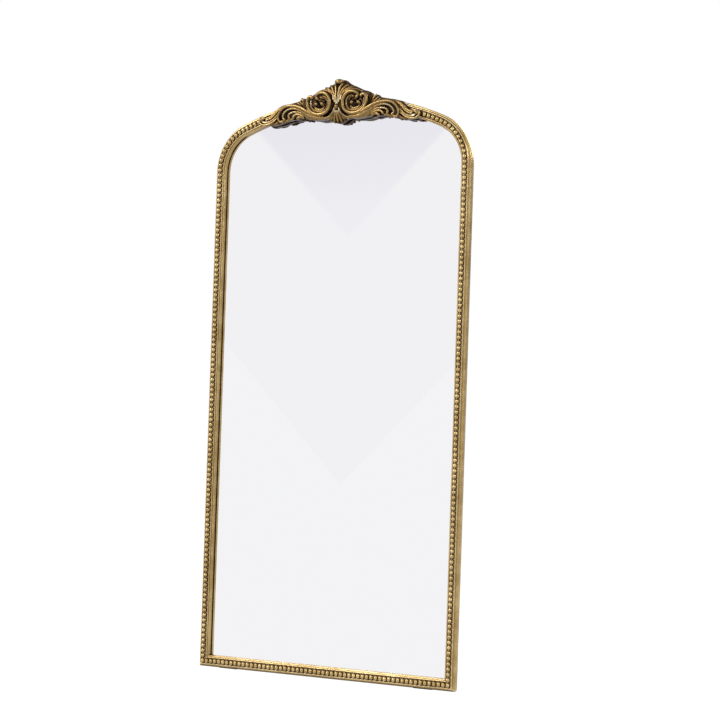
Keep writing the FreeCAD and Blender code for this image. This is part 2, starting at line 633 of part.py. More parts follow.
def crest_seat():
    """The space that the moulding takes up inside the crest: a curved bar of plain section."""
    gap = CREST_SEAT_GAP
    inner, outer = CROWN_Z - SIGHT_IN - gap, CROWN_Z + EDGE_OUT + gap
    front, back = BEAD_PLANE_Y - gap, BEAD_PLANE_Y + FRAME_DEPTH
    corners = [Vector(0, front, inner), Vector(0, front, outer),
               Vector(0, back, outer), Vector(0, back, inner)]
    section = Part.Face(Part.makePolygon(corners + corners[:1]))
    centre = Vector(0, 0, CROWN_CENTRE_Z)
    half_sweep = math.degrees(math.asin((CREST_HALF_WIDTH + EDGE_OUT) / CROWN_RADIUS))
    section.rotate(centre, Y_AXIS, -half_sweep)
    return section.revolve(centre, Y_AXIS, 2 * half_sweep)


def carved_plate(points, front, back_depth):
    """Plate with a smooth outline, given by x and rise, round the moulding. front is as drawn."""
    curve = Part.BSplineCurve()
    curve.interpolate([on_crest(x, rise, front) for x, rise in points], PeriodicFlag=True)
    thickness = back_depth - front * CARVING_DEPTH
    plate = Part.Face(Part.Wire([curve.toShape()])).extrude(Y_AXIS * thickness)
    return plate.cut(crest_seat())


def roll(radius, *points):
    """Round roll of the carving through three points."""
    return rod([on_crest(*point) for point in points], radius * CARVING_DEPTH)


def knob(radius, x, rise, depth):
    return Part.makeSphere(radius * CARVING_DEPTH, on_crest(x, rise, depth))


def volute():
    """Oval scroll with a curled eye inside."""
    scroll = oval_ring(on_crest(62, -4, -20), 37.5 * CARVING_X, 29 * CARVING_RISE, 6.3 * CARVING_DEPTH)
    eye = Part.makeTorus(13 * CARVING_RISE, 4.5 * CARVING_DEPTH, on_crest(62, -9, -16.5), Y_AXIS)
    return [scroll, eye]


def both_halves(half):
    """Close a half outline, which runs from the top to the bottom, with its mirror image."""
    return half + [(-x, rise) for x, rise in reversed(half) if x > 0]


def crest_centre():
    """Palmette, two volutes and a pendant shell on one ground."""
    ground = [(0, 60), (13, 57), (19, 50), (31, 45), (44, 40), (56, 34), (68, 27), (94, 22), (106, 8),
              (109, -12), (112, -26), (111, -40), (96, -46), (62, -50), (26, -50), (18, -56), (0, -62)]
    upper = [(0, 64), (13, 62), (20, 53), (31, 47), (48, 41), (63, 34), (78, 29), (94, 26), (103, 15),
             (92, 4), (0, 4)]
    plates = [carved_plate(both_halves(ground), -14.5, CREST_APRON_BACK),
              carved_plate(both_halves(upper), -0.3, CREST_BACK)]
    middle = [knob(12, 0, 53, -8.5), knob(6.5, 0, -15, -21.3),
              roll(6, (0, -15, -21.3), (0, 22, -19), (0, 53, -8.5)),
              roll(6.25, (0, -15, -21.3), (0, -38, -15), (0, -55, -4))]
    feathers = [roll(5.5, (5, -8, -16), (10, 28, -17), (25, 43, -12)),
                roll(5.5, (11, 4, -14), (20, 30, -15), (47, 35, -12)),
                roll(5.5, (6, -24, -15), (12, -36, -12), (16, -52, -5)),
                roll(7.5, (24, -44, -13), (62, -45, -14), (101, -34, -15))]
    shape = fused(plates + middle + both_sides(feathers + volute()))
    outside = block(Vector(CASTING_JOINT_X, -FAR, -FAR), Vector(FAR, FAR, FAR))
    holes = [sunk_screw(seat, CREST_SCREW, SCREW_GAP) for seat in crest_centre_seats()]
    return carve(shape, both_sides([outside] + holes))


def crest_wing_right():
    """Scrolled leaf and its tail, with three fronds below and a sprig above."""
    ground = [(108, -14), (125, -7), (142, -2), (162, 0), (182, -3), (197, -9), (208, -19), (217, -29),
              (230, -40), (244, -40), (254, -32), (264, -31), (272, -41), (266, -53), (246, -58),
              (222, -58), (204, -56), (188, -50), (164, -46), (136, -46), (108, -46)]
    scrolls = [roll(7.75, (117, -20, -15), (140, -9, -15), (165, -7, -15)),
               roll(6.5, (165, -7, -15), (190, -14, -14), (203, -32, -13)),
               roll(5.25, (203, -32, -13), (200, -46, -11), (186, -49, -9)),
               roll(5.5, (196, -14, -9), (212, -38, -11), (238, -51, -11)),
               roll(5.5, (238, -51, -11), (257, -53, -10), (264.5, -41, -10)),
               knob(9.5, 264.5, -41, -10)]
    fronds = [roll(5, (118, -27, -12), (150, -19, -13), (179, -35, -11)),
              roll(5, (118, -33, -11), (137, -30, -12), (151, -39, -10)),
              roll(4.75, (117, -39, -10), (126, -39, -10), (134, -43, -8)),
              roll(4.75, (117, -8, -6), (120, 4, -9), (128, 12, -7))]
    shape = fused([carved_plate(ground, -9.5, CREST_APRON_BACK)] + scrolls + fronds)
    inside = block(Vector(-FAR, -FAR, -FAR), Vector(CASTING_JOINT_X + CASTING_GAP, FAR, FAR))
    holes = [sunk_screw(seat, CREST_SCREW, SCREW_GAP) for seat in crest_wing_seats()]
    return carve(shape, [inside] + holes)


# ---- Write every piece ----

def pairs():
    """Pieces that have a twin on the left."""
    yield "stile", right_stile()
    yield "arch_half", right_arch()
    yield "bead_strip", bead_strip_right()
    yield "bead_strip_arch", bead_strip_arch_right()
    yield "crest_wing", crest_wing_right()
    yield "mitre_spline", spline_block(0.0)
    yield "corner_plate", corner_plate_right()
    yield "shoulder_plate", straight_plate(on_stile(BACK_MIDDLE, FRAME_DEPTH, JOINT_Z), Z_AXIS,
                                           shoulder_plate_seats())
    yield "setting_block", setting_block_right()
    yield "glass_spacer_lower", edge_spacer_right(BEAD_LINE_Z + LOWER_SPACER_RISE)
    yield "glass_spacer_upper", edge_spacer_right(JOINT_Z - UPPER_SPACER_DROP)
    yield "hanger_strap", hanger_strap_right()
    yield "hanger_ring", hanger_ring_right()
    low, high = BEAD_LINE_Z + LOWER_BUMPER_RISE, SHOULDER_X - UPPER_BUMPER_INSET
    yield "wall_bumper_lower", bumper(on_stile(BUMPER_OFFSET, FRAME_DEPTH, low))
    yield "wall_bumper_upper", bumper(on_crown(high, BUMPER_OFFSET, FRAME_DEPTH))
    yield "floor_pad", floor_pad(0.0)


def singles():
    """Pieces that cross the middle, and the groups of like fasteners."""
    yield "bottom_rail", bottom_rail()
    yield "bead_strip_bottom", bead_strip_bottom()
    yield "crest_centre", crest_centre()
    yield "mirror_glass", arched_plate(GLASS_EDGE, GLASS_SEAT_DEPTH, LEDGE_DEPTH)
    yield "backing_board", backing_board()
    crown_middle = Vector(0, BEAD_PLANE_Y + FRAME_DEPTH, CROWN_Z + BACK_MIDDLE)
    yield "crown_plate", straight_plate(crown_middle, X_AXIS, crown_plate_seats())
    shoulder, crown = dowels(0.0)
    yield "arch_dowels", Part.makeCompound(both_sides(shoulder) + crown)
    yield "board_screws", screw_group(screw, BOARD_SCREW, board_screw_seats())
    plate_seats = corner_plate_seats() + shoulder_plate_seats()
    plate_screws = both_sides([sunk_screw(seat, PLATE_SCREW) for seat in plate_seats])
    plate_screws += [sunk_screw(seat, PLATE_SCREW) for seat in crown_plate_seats()]
    yield "plate_screws", Part.makeCompound(plate_screws)
    yield "hanger_screws", screw_group(sunk_screw, HANGER_SCREW, hanger_screw_seats())
    yield "crest_screws", screw_group(sunk_screw, CREST_SCREW, crest_centre_seats() + crest_wing_seats())


def screw_group(make, size, seats):
    return Part.makeCompound(both_sides([make(seat, size) for seat in seats]))


def main():
    os.makedirs("parts", exist_ok=True)
    for name, shape in singles():
        save(name, shape)
    for name, shape in pairs():
        save(name + "_right", shape)
        save(name + "_left", mirrored(shape))


main()
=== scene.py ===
"""Dresses the crested floor mirror: carves its crest, finishes every piece and sets the stage."""

import math

import bpy
from mathutils import Matrix, Vector


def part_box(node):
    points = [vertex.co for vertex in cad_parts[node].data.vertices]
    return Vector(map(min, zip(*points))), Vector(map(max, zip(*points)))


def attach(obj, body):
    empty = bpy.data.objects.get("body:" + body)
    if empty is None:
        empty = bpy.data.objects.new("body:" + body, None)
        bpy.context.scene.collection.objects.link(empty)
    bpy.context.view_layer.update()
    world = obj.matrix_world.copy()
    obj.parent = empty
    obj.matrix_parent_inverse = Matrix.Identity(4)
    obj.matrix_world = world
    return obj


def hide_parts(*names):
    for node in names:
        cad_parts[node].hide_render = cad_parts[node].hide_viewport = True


bl_info = {
    "name": "Crested Floor Mirror",
    "version": (1, 0, 0),
    "blender": (4, 5, 0),
    "location": "3D View > Sidebar > Floor Mirror",
    "description": "Carves the crest and gilds the frame of an arched, beaded floor mirror",
    "category": "Object",
}

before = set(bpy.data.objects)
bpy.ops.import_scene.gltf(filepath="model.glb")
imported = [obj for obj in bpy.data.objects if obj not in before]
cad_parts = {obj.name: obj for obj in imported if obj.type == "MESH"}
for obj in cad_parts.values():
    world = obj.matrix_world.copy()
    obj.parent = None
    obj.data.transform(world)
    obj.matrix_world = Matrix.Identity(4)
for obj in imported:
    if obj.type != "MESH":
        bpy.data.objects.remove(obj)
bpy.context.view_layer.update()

MM = 0.001
EDGE_OUT = 16.8 * MM                # bead line to the frame's outermost edge
SIGHT_IN = 15.3 * MM                # bead line to the sight edge
FRAME_DEPTH = 27.0 * MM
CROWN_RADIUS = 882.0 * MM           # of the bead line
SEAT_GAP = 0.3 * MM                 # between the crest and the moulding under it
JOINT_X = 113.0 * MM                # where the crest's centre meets a wing
JOINT_GAP = 0.3 * MM
BEAD_PLANE_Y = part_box("bottom_rail")[0].y
CROWN_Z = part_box("arch_half_right")[1].z - EDGE_OUT
SHOULDER_RADIUS = 130.0 * MM        # of the bead line
SHOULDER_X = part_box("stile_right")[1].x - EDGE_OUT - SHOULDER_RADIUS
CROWN_DROP = math.sqrt((CROWN_RADIUS - SHOULDER_RADIUS) ** 2 - SHOULDER_X ** 2)
SPRING_Z = CROWN_Z - CROWN_RADIUS + CROWN_DROP
SEAT_REACH = 0.3                    # the seat's cutter goes this far on each side of the middle
SEAT_STEPS = 96
FAR = 0.5                           # beyond the crest's ends
SLAB_DEPTH, SLAB_HEIGHT = 0.4, 0.6  # of the blocks that cut the castings' joints
WELD = 0.02 * MM                    # points closer than this are one
WORN_EDGE = math.radians(50)        # sharper edges of the carving stay crisp
CASTING_GILT = "antique_gilding_on_casting"

# The chevrons of painted reflection in the glass, and the heights between which the upper one deepens.
LOW_VEE_BLUR, HIGH_VEE_BLUR = 0.012, 0.03
LOW_VEE_TINT = 0.17
REFLECTION_RISE = (1.20, 1.60)

# The studio. Each lamp has its place, its power in watts and its width.
LAMPS = (((-2.6, -3.0, 3.6), 110.0, 1.8), ((3.4, -1.6, 3.0), 55.0, 1.2), ((0.4, 3.2, 3.0), 60.0, 2.0))
LAMPS_AIM = (0, 0, 1.0)
FLOOR_SIZE = 120.0
FLOOR_GLOW = 1.2                    # brightness of the plain floor before the shadow darkens it
FLOOR_SHADE = 0.30                  # share of the lit floor, with the shadow, in what the camera sees
SOFT_LIGHT = 0.62
WHITE = (1, 1, 1, 1)
BRIGHT_SIDE = (-0.545, -0.838)      # along x and y, where reflections find the room's pale wall
WALL_DIM, WALL_BRIGHT = 0.40, 0.60  # the wall's least brightness, and what the pale side adds

GILT_WOOD = ("stile_left", "stile_right", "arch_half_left", "arch_half_right", "bottom_rail")
BEADING = ("bead_strip_left", "bead_strip_right", "bead_strip_arch_left", "bead_strip_arch_right",
           "bead_strip_bottom")
BEECH = ("arch_dowels", "mitre_spline_left", "mitre_spline_right")
STEEL = ("board_screws", "plate_screws", "hanger_screws", "crest_screws", "crown_plate",
         "corner_plate_left", "corner_plate_right", "shoulder_plate_left", "shoulder_plate_right",
         "hanger_strap_left", "hanger_strap_right", "hanger_ring_left", "hanger_ring_right")
RUBBER = ("floor_pad_left", "floor_pad_right", "wall_bumper_lower_left", "wall_bumper_lower_right",
          "wall_bumper_upper_left", "wall_bumper_upper_right", "setting_block_left",
          "setting_block_right", "glass_spacer_lower_left", "glass_spacer_lower_right",
          "glass_spacer_upper_left", "glass_spacer_upper_right")

# Strokes of the carving's right half. Each point is x, rise, depth and radius in millimetres: x from
# the middle, rise from the bead line's highest point, depth behind the bead plane.
VOLUTE = (
    ((67, 10.5, -18.5, 5.6), (71.5, 17, -20, 4.2), (64, 23.5, -21.5, 4.4), (50, 26.5, -22, 4.8),
     (34.5, 21.5, -22.5, 5.2), (24.5, 9, -22.6, 5.2), (21.8, -5, -22.6, 5.2), (26, -20, -22.4, 5.2),
     (38, -30.5, -21.5, 5.4), (55, -35, -20.5, 5.6), (74, -32.5, -20, 5.8), (89.5, -23.5, -19.8, 5.8),
     (98.5, -10, -19.8, 5.6), (100.5, 3, -20.5, 5.0), (96.5, 13.5, -21.2, 4.6),
     (89.5, 17.5, -21.5, 4.4), (83.5, 13.5, -21.5, 5.2)),
    ((61, 14, -15, 2.6), (50, 17.5, -16, 3.2), (39.5, 14, -17, 3.4), (33, 5.5, -17.5, 3.5),
     (31, -5, -17.5, 3.5), (35, -16.5, -17, 3.5), (44, -24, -16.5, 3.5), (57.5, -26.8, -16, 3.6),
     (71.5, -24.5, -15.5, 3.6), (83.5, -17.5, -15.5, 3.4), (90, -7, -16, 3.2), (91, 3.5, -16, 2.9),
     (88, 9.5, -15, 2.2)),
    ((50.5, -4.5, -18, 6.0), (45, -12, -14, 3.4), (48.5, -18.5, -13.5, 4.0), (59.5, -21, -14, 4.6),
     (70, -18.5, -14, 4.2), (76.5, -11.5, -14.5, 3.4), (71.5, -4.5, -17, 6.0)),
    ((38, 5, -12, 3.0), (45, 11.5, -14, 4.2), (54, 13.5, -16.5, 5.0)),
    ((48, 3, -11, 3.0), (56, 6, -13, 3.8), (62.5, 6, -15, 4.2)),
    ((84, -8, -11, 3.0), (82, 0, -12, 3.6), (76, 5, -13, 4.0)),
)
PALMETTE = (
    ((2.6, -6, -21, 2.2), (3.2, 12, -20, 2.6), (5, 29, -17.5, 3.4), (8.5, 43, -12.5, 4.6),
     (11, 49, -9, 5.0)),
    ((7.4, -1, -20, 2.2), (9.2, 15, -19, 2.8), (13.8, 29, -16, 3.8), (21.5, 40, -11.5, 4.8),
     (27, 44.5, -8, 5.0)),
    ((12, 5, -18.5, 2.4), (15.5, 18, -17, 3.2), (23.5, 29.5, -14.5, 4.2), (36, 37, -10.5, 4.8),
     (44, 39.5, -7, 4.8)),
    ((18.5, 17, -16, 2.8), (29, 28, -14.5, 3.8), (45, 33, -12.5, 4.4), (61, 31.5, -10.5, 4.4),
     (76, 26, -8, 4.0)),
)
EDGE_ROLL = (
    ((12, 57, 4, 6.0), (21, 50.5, 4, 5.2), (33, 44.5, 5, 5.2), (47, 39.5, 6, 5.0), (62, 33, 6, 5.0),
     (76, 27, 6, 5.0), (90, 23.5, 6, 5.0), (101, 16, 6, 5.0), (107, 4, 6, 5.0)),
    ((12, 56, 13, 6.4), (21, 49.5, 13, 6.0), (33, 43, 13, 6.0), (47, 37.5, 13, 6.0),
     (62, 31, 13, 6.0), (76, 25, 13, 6.0), (90, 22, 13, 6.0), (99, 17, 13, 6.0)),
)
SHELL = (
    ((3.4, -27, -17, 2.2), (8.2, -40, -14, 3.9), (11.2, -52, -9, 4.6), (12.4, -57, -5, 4.0)),
    ((5.8, -28, -16, 2.0), (14.5, -38.5, -12.5, 3.6), (20, -48.5, -8, 4.1), (22.5, -52.5, -5, 3.6)),
)
APRON = (
    ((7, -19, -20, 2.4), (14, -31, -18, 3.2), (26, -41, -16, 3.6), (40, -45.5, -15, 3.5),
     (52, -46.5, -14, 3.0)),
    ((6, -24, -17, 2.0), (13, -35, -14.5, 2.6), (24, -44.5, -12, 3.2), (36, -48.5, -9, 3.2)),
    ((45, -45.5, -8, 4.0), (70, -46, -7, 4.8), (95, -42, -7, 5.4), (120, -39, -7, 5.4)),
    ((98, 14, -4, 4.0), (106, 2, -6, 4.2), (110, -10, -9, 4.4), (118, -16, -12, 4.4)),
)
ARM = (
    ((60, -40, -16.5, 4.0), (76, -36.5, -18.5, 5.0), (90, -30.5, -20, 5.6), (102, -24, -20.5, 5.8),
     (113, -18, -20, 5.6), (124, -13, -19, 5.2), (136, -9, -18, 4.8), (150, -6.2, -17.5, 4.6),
     (165, -5.8, -17, 4.5), (179, -8, -16.5, 4.4), (190, -13.5, -16, 4.4), (199, -22.5, -15.5, 4.3),
     (204, -33, -15, 4.2), (203.5, -43, -14, 4.0), (197, -49.5, -13, 3.8), (189, -49, -12, 4.8)),
    ((44, -43.5, -16, 4.0), (62, -44, -17, 5.0), (80, -41, -17.5, 5.6), (96, -35, -18, 5.8),
     (110, -28, -17.5, 5.2), (124, -21.5, -16.5, 4.0), (140, -16, -16, 3.5), (155, -14, -15.5, 3.3),
     (169, -15.8, -15, 3.3), (180, -21.5, -14.5, 3.3), (187, -30, -14, 3.3), (188, -38.5, -13, 3.4),
     (182.5, -43.5, -12, 4.6)),
    ((56, -46, -11, 4.2), (78, -46, -12, 5.0), (96, -41.5, -13, 5.4), (110, -35, -14, 4.8),
     (124, -28.5, -14.5, 3.8), (137, -24.5, -14.2, 3.3), (150, -23.8, -14, 3.2), (160, -26, -13.5, 3.4),
     (168.5, -33, -13, 3.8), (167, -38.5, -12, 5.0)),
)
WING = (
    ((104, -40.5, -13, 4.8), (118, -36.5, -13.5, 4.2), (132, -32, -13.5, 3.5), (145, -32, -13, 3.6),
     (152, -37.5, -12.5, 5.0)),
    ((104, -43, -10, 4.4), (120, -40, -12, 4.0), (130, -38.5, -12, 3.8), (137, -41.5, -11.5, 4.8)),
    ((158, -43, -9, 4.0), (170, -45, -9, 4.0), (181, -50, -8, 4.0)),
)
TAIL = (
    ((178, -3, -4, 4.2), (195, -7, -6.5, 4.4), (209, -14.5, -8, 4.2), (222, -25, -9, 4.0),
     (235, -34.5, -10, 3.8), (248, -38.5, -11, 3.6)),
    ((184, -7, -5, 4.0), (199, -12, -8, 4.2), (212, -22, -9.5, 4.0), (223, -32.5, -10.5, 3.8),
     (235, -40.5, -11.5, 3.5), (247, -43.5, -12, 3.2)),
    ((192, -14, -8, 3.4), (206, -27, -10.5, 3.4), (218, -39, -12, 3.3), (232, -47.5, -13, 3.2),
     (247, -50.3, -13.2, 3.0), (257, -48.5, -13.2, 2.8)),
    ((197, -24, -8, 3.4), (209, -38, -10.5, 3.2), (221, -48, -11.5, 3.3), (235, -54.5, -12, 3.4),
     (250, -57, -12, 3.4), (262, -55, -12, 3.6), (270.5, -47, -11, 3.8), (269, -38, -11, 3.6),
     (262, -34.5, -12, 3.6), (256, -38.5, -13, 3.4)),
    ((203, -47, -8, 4.2), (214, -54, -8, 4.2), (228, -57, -7, 3.6)),
)
SPRIG = (
    ((112, -10, -9, 4.2), (117.5, 1, -10.5, 4.2), (122, 9, -11, 4.2), (126.5, 13.5, -10, 3.8)),
    ((117, -9, -9.5, 3.8), (126, 0, -10, 3.8), (132.5, 6, -9, 3.8)),
    ((123, -9, -8.5, 3.4), (133, -2.5, -9, 3.4), (140, 1.5, -8, 3.2)),
    ((112, 6, -1, 5.0), (119, 9.5, -1, 5.0), (126, 11.5, -1, 4.6), (133, 8, -1, 4.0)),
    ((112, 6, 8, 5.4), (119, 9, 8, 5.4), (126, 10, 8, 5.0)),
    ((112, 6, 15, 5.0), (119, 8, 15, 5.0), (125, 9, 15, 4.6)),
)
MIDDLE = (
    ((0, -26, -17.5, 2.4), (0, -40, -15, 4.0), (0, -53, -9, 4.8), (0, -57.6, -5, 4.2)),
    ((0, 6, -16, 3.0), (0, 30, -11, 4.0), (0, 45, -3, 7.0), (0, 55, 6, 8.4)),
)

# Egg-shaped bosses: x, rise, depth and the three half sizes, all in millimetres.
LOBE = (0, 56.7, -9.5, (14.5, 10.5, 8.2))       # at the top of the palmette
HOOD = (0, 56.8, 5, (14.5, 14.5, 7.8))          # behind the lobe
BOSS = (0, -15, -20.8, (5.6, 6.9, 7.2))         # between the volutes
CURL = (263, -42, -9, (7.2, 8.4, 7.2))          # in the right tail's end

# Outlines of the plates behind the strokes: x and rise in millimetres, and the depths of their
# front and back.
CENTRE_GROUND_DEPTHS = (-5, 12)
CENTRE_GROUND = (
    (0, 58), (12, 56), (19, 49), (31, 43), (44, 38), (56, 32), (68, 25), (94, 20), (108, 13.5),
    (122, 10), (122, -41), (96, -46), (62, -50), (27, -50), (20, -54), (9, -60), (0, -62),
)
CENTRE_BACK_DEPTHS = (-1, 20)
CENTRE_BACK = (
    (0, 62), (12, 59), (19, 51), (31, 45), (47, 39.5), (62, 32), (77, 27.5), (93, 24.5), (102, 16),
    (104, 4), (0, 4),
)
WING_GROUND_DEPTHS = (-4, 12)
WING_GROUND = (
    (104, 14), (125, 10), (142, 7.2), (158, 4.4), (174, 1.4), (190, -1.8), (203, -4.6), (214, -9.5),
    (224, -20), (234, -33), (246, -39), (256, -34), (263, -33), (270, -41), (265, -51), (246, -57),
    (222, -58), (204, -55), (188, -50), (164, -46), (136, -45), (104, -45),
)


def srgb(red, green, blue):
    """A colour as it is read off a screen, in Blender's linear light."""
    return tuple((v / 255 / 12.92) if v < 11 else ((v / 255 + 0.055) / 1.055) ** 2.4
                 for v in (red, green, blue))


# ---- Materials ----

class Value:
    """A socket in a node tree, on which Python's operators add Math nodes."""

    def __init__(self, tree, socket):
        self.tree = tree
        self.socket = socket

    def math(self, operation, *values):
        return self.tree.node("ShaderNodeMath", {"operation": operation}, values)

    def __add__(self, other):
        return self.math("ADD", self, other)

    def __sub__(self, other):
        return self.math("SUBTRACT", self, other)

    def __rsub__(self, other):
        return self.math("SUBTRACT", other, self)

    def __mul__(self, other):
        return self.math("MULTIPLY", self, other)

    def __pow__(self, other):
        return self.math("POWER", self, other)

    def most(self, other):
        return self.math("MAXIMUM", self, other)

    def size(self):
        return self.math("ABSOLUTE", self)

    def fade(self, low, high):
        """0 below low, 1 above high, and smooth between them."""
        return self.tree.node("ShaderNodeMapRange", {"interpolation_type": "SMOOTHSTEP"},
                              (self, low, high, 0.0, 1.0))

    __radd__ = __add__
    __rmul__ = __mul__


class NodeTree:
    """Makes the nodes of one material or of the world."""

    def __init__(self, owner):
        owner.use_nodes = True
        self.tree = owner.node_tree
        self.tree.nodes.clear()

    def node(self, kind, settings=None, inputs=(), output=0):
        made = self.tree.nodes.new(kind)
        for name, value in (settings or {}).items():
            setattr(made, name, value)
        named = inputs.items() if isinstance(inputs, dict) else enumerate(inputs)
        for key, value in named:
            if isinstance(value, Value):
                self.tree.links.new(value.socket, made.inputs[key])
            else:
                made.inputs[key].default_value = value
        return Value(self, made.outputs[output]) if made.outputs else made

    def place(self):
        """The point on the surface, in metres in the object's own frame."""
        return self.node("ShaderNodeTexCoord", output="Object")

    def axes(self, place):
        """The point's x, y and z."""
        parts = self.node("ShaderNodeSeparateXYZ", None, (place,))
        return parts, *(Value(self, parts.socket.node.outputs[i]) for i in (1, 2))

    def noise(self, place, scale, detail=3.0, roughness=0.55):
        return self.node("ShaderNodeTexNoise", None,
                         {"Vector": place, "Scale": scale, "Detail": detail, "Roughness": roughness})

    def stretched(self, place, scale):
        return self.node("ShaderNodeMapping", None, {"Vector": place, "Scale": scale})

    def mix(self, share, under, over):
        """Colour over laid on colour under, by share."""
        under, over = (c if isinstance(c, Value) else (*c, 1.0) for c in (under, over))
        return self.node("ShaderNodeMix", {"data_type": "RGBA"}, {0: share, 6: under, 7: over}, 2)

    def hollow(self, reach, inside=False):
        """0 in the open and up to 1 where the surface closes in within reach."""
        occlusion = self.node("ShaderNodeAmbientOcclusion", {"samples": 8, "inside": inside},
                              {"Distance": reach}, "AO")
        return 1.0 - occlusion

    def bump(self, height, distance, strength):
        return self.node("ShaderNodeBump", None, {"Height": height, "Distance": distance,
                                                  "Strength": strength})

    def surface(self, **inputs):
        shader = self.node("ShaderNodeBsdfPrincipled", None,
                           {name.replace("_", " ").title(): value for name, value in inputs.items()})
        self.node("ShaderNodeOutputMaterial", None, {"Surface": shader})


def new_material(name):
    """An empty material and its node tree."""
    material = bpy.data.materials.new(name)
    return material, NodeTree(material)


def gilt_layers(tree, look, place, depth_of_hollow, age_and_shade=0.0, set_back_share=0.0, rub_and_highlight_place=1.0):
    """Patina and painted shade in the hollows; gold lightened on the edges by wear and painted
    highlight.

    age darkens it all, for its years and as painted shade of the relief; sunk darkens what lies set
    back; worn says where edges are lightened, as wear and as a painted highlight. Gives the colour
    and the metallic and roughness values.
    """
    cloud = tree.noise(place, 14.0, 5.0, 0.6)
    fleck = tree.noise(place, 160.0, 4.0, 0.7)
    # Patina and painted shade darken the hollows, where the surface closes in.
    hollow = tree.hollow(depth_of_hollow * 0.4).most(tree.hollow(depth_of_hollow) * 0.85)
    # Thin rolls and ridges are lightened: gilding wiped bright, and a painted highlight.
    rub_and_highlight = tree.hollow(look.rub_and_highlight_reach, inside=True)
    tone = (cloud * 0.6 + fleck * 0.4).fade(0.40, 0.62) * (1.0 - age_and_shade)
    body = tree.mix(tone, look.olive, look.gold)
    # How dark each place gets: the hollows' painted shade and brown film, random tone, and the set-back
    # share.
    hollow_dark = hollow + (fleck - 0.5) * 0.25 + set_back_share
    # The crest darkens all over, for its years and as painted shade of its relief.
    dark_share = hollow_dark + age_and_shade * 0.30
    body = tree.mix(dark_share.fade(0.06, 0.46), body, look.patina_and_shade)
    body = tree.mix(dark_share.fade(0.42, 0.85), body, look.deep_patina_and_shade)
    rub_and_highlight = rub_and_highlight.fade(0.30, 0.85) * rub_and_highlight_place * (1.0 - hollow_dark.fade(0.08, 0.40))
    rub_and_highlight = rub_and_highlight * (fleck.fade(0.35, 0.60) * 0.5 + 0.5)
    return (tree.mix(rub_and_highlight * 0.85, body, look.rubbed_and_highlight), 0.92 - hollow.fade(0.2, 0.9) * 0.55,
            look.roughness + hollow * 0.30 - rub_and_highlight * 0.10 + (fleck - 0.5) * 0.16)


def gilding(name, look, depth_of_hollow, grain, age_and_shade=0.0, glaze=0.0):
    """Antique gold leaf and bronze paint over gesso or resin, made darker the further back it lies.

    The joints between the castings get no lightened edges or painted highlight, so that they don't catch
    the eye.
    """
    material, tree = new_material(name)
    place = tree.place()
    x, y = tree.axes(place)[:2]
    # Darker the further back the surface lies behind the bead plane.
    set_back_share = y.fade(BEAD_PLANE_Y - 14 * MM, BEAD_PLANE_Y - 4 * MM) * glaze
    # The lightened edges and painted highlight keep off the joints.
    off_joint = (x.size() - JOINT_X).size().fade(0.8 * MM, 3.0 * MM)
    colour, metallic, roughness = gilt_layers(tree, look, place, depth_of_hollow, age_and_shade, set_back_share,
                                              rub_and_highlight_place=off_joint)
    pits = tree.noise(place, grain, 3.0, 0.65)
    brushed = tree.noise(place, grain * 0.17, 2.0)
    height = pits * 0.6 + brushed * 0.4
    tree.surface(base_color=colour, metallic=metallic, roughness=roughness,
                 normal=tree.bump(height, 0.12 * MM, 0.55))
    return material


def gilded_moulding(look):
    """Gilding on the front and edges, bare sealed wood on the back face and in the rebate."""
    material, tree = new_material("antique_gilding_on_wood")
    place = tree.place()
    y = tree.axes(place)[1]
    colour, metallic, roughness = gilt_layers(tree, look, place, depth_of_hollow=6.5 * MM)
    ragged = tree.noise(place, 60.0, 4.0)
    back_y = BEAD_PLANE_Y + FRAME_DEPTH
    back = (y + ragged * 1.6 * MM).fade(back_y - 0.8 * MM, back_y + 0.4 * MM)
    grain = tree.noise(tree.stretched(place, (60.0, 60.0, 4.0)), 7.0, 6.0, 0.7)
    timber = tree.mix(grain.fade(0.35, 0.7), look.timber_dark, look.timber)
    pits = tree.noise(place, 900.0, 3.0, 0.6)
    brushed = tree.noise(place, 120.0, 2.0)
    front = 1.0 - back
    height = (pits * 0.5 + brushed * 0.5) * front + grain * back * 1.5
    tree.surface(base_color=tree.mix(back, colour, timber), metallic=metallic * front,
                 roughness=roughness * front + back * 0.62,
                 normal=tree.bump(height, 0.12 * MM, 0.5))
    return material


def silvering(look):
    """Silvered float glass, with a painted reflection: cool chevrons that deepen towards the top.

    A painted shadow line runs where the glass passes under the stiles and shoulders.
    """
    material, tree = new_material("silver_behind_glass")
    x, y, z = tree.axes(tree.place())
    # The chevrons are a painted reflection, stronger towards the top.
    climb = z - (x - look.vee_middle).size() * look.vee_slope
    low_vee = climb.fade(look.vee_low, look.vee_low + LOW_VEE_BLUR) * LOW_VEE_TINT
    high_vee = climb.fade(look.vee_high, look.vee_high + HIGH_VEE_BLUR)
    reflection_strength = z.fade(*REFLECTION_RISE) * 0.60 + 0.12
    silver_and_reflection = tree.mix(low_vee + high_vee * reflection_strength, look.silver, look.painted_reflection)
    # Painted shadow along the sight edge, beside the stiles and shoulders.
    across = (x.size() - SHOULDER_X).most(0.0)
    above = (z - SPRING_Z).most(0.0)
    from_edge = SHOULDER_RADIUS - SIGHT_IN - (across * across + above * above) ** 0.5
    on_side = across.fade(40.0 * MM, 60.0 * MM)
    line = (1.0 - from_edge.fade(0.8 * look.edge, 1.2 * look.edge)) * on_side
    silver_and_reflection = tree.mix(line, silver_and_reflection, look.shadow)
    smear = tree.noise(tree.place(), 2.5, 4.0)
    tree.surface(base_color=silver_and_reflection, metallic=1.0, roughness=smear.fade(0.45, 0.8) * 0.012 + 0.004)
    return material


